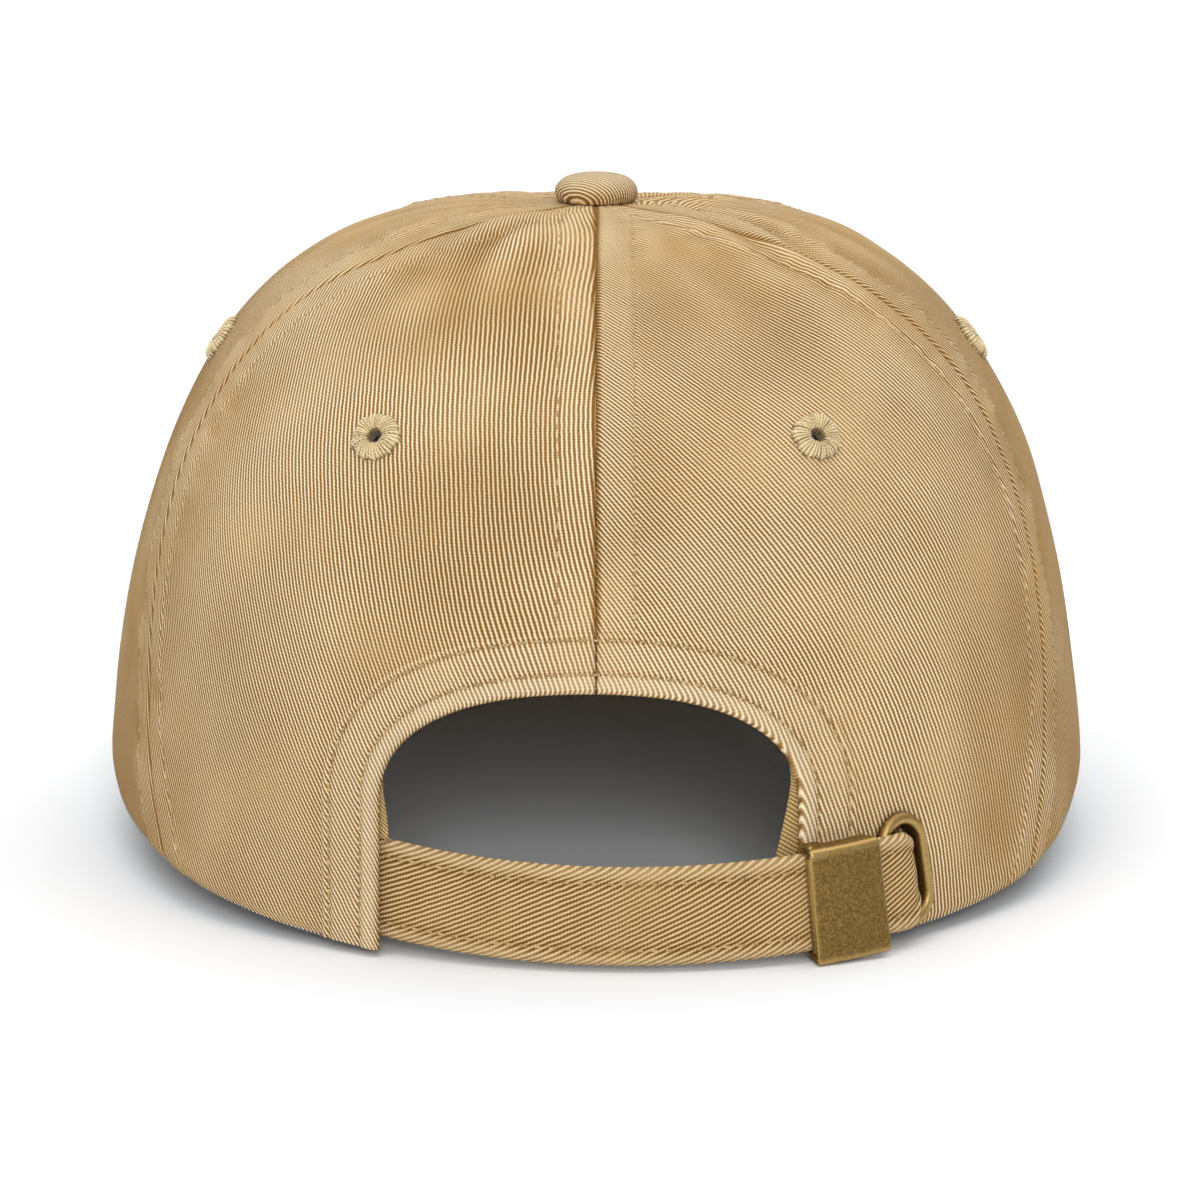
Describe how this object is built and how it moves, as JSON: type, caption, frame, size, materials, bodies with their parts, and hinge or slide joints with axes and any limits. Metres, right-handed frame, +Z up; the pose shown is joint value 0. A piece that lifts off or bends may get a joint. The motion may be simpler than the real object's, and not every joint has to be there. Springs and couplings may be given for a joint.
{
  "type": "baseball cap",
  "caption": "Soft unstructured twill cap with a curved visor and an arch at the back, closed by a strap with a folding metal buckle.",
  "frame": {"origin": "middle of the cap's box, on the surface that it stands on", "axes": "+Y to the visor's tip, +X to the right as seen from behind, +Z up"},
  "size_m": [0.1762, 0.2708, 0.1197],
  "materials": {
    "twill": "washed cotton twill, khaki",
    "sweatband_twill": "smooth cotton twill lining",
    "tape": "bias-cut cotton tape",
    "thread": "embroidery thread with a soft sheen",
    "board": "moulded visor board",
    "brass": "antique brass, worn bright on the edges",
    "label": "blank woven label"
  },
  "bodies": {
    "cap": {"panel_rear_right": "twill", "panel_rear_left": "twill", "panel_side_right": "twill", "panel_side_left": "twill", "panel_front_right": "twill", "panel_front_left": "twill", "eyelet_rear_right": "thread", "eyelet_rear_left": "thread", "eyelet_side_right": "thread", "eyelet_side_left": "thread", "eyelet_front_right": "thread", "eyelet_front_left": "thread", "seam_tape_rear": "tape", "seam_tape_rear_right": "tape", "seam_tape_front_right": "tape", "seam_tape_front": "tape", "seam_tape_front_left": "tape", "seam_tape_rear_left": "tape", "arch_facing": "tape", "button_cap": "twill", "button_rivet": "brass", "sweatband": "sweatband_twill", "care_label": "label", "visor_cover_top": "twill", "visor_board": "board", "visor_cover_bottom": "twill", "strap": "twill", "buckle_loop": "twill", "slot_ring": "brass", "slot_washer": "brass"},
    "buckle": {"buckle_frame": "brass", "buckle_hinge_pin": "brass"},
    "lever": {"buckle_lever": "brass"}
  },
  "joints": [
    {"name": "buckle_slide", "type": "hinge", "parent": "cap", "child": "buckle", "pos_m": [0.00569, -0.05616, 0.01189], "axis": [0, 0.1523, -0.9883], "range_deg": [0, 14], "deforming": ["buckle_loop"]},
    {"name": "lever_hinge", "type": "hinge", "parent": "buckle", "child": "lever", "pos_m": [0.03595, -0.12866, 0.00982], "axis": [0.0861, -0.054, -0.9948], "range_deg": [0, 100]}
  ]
}
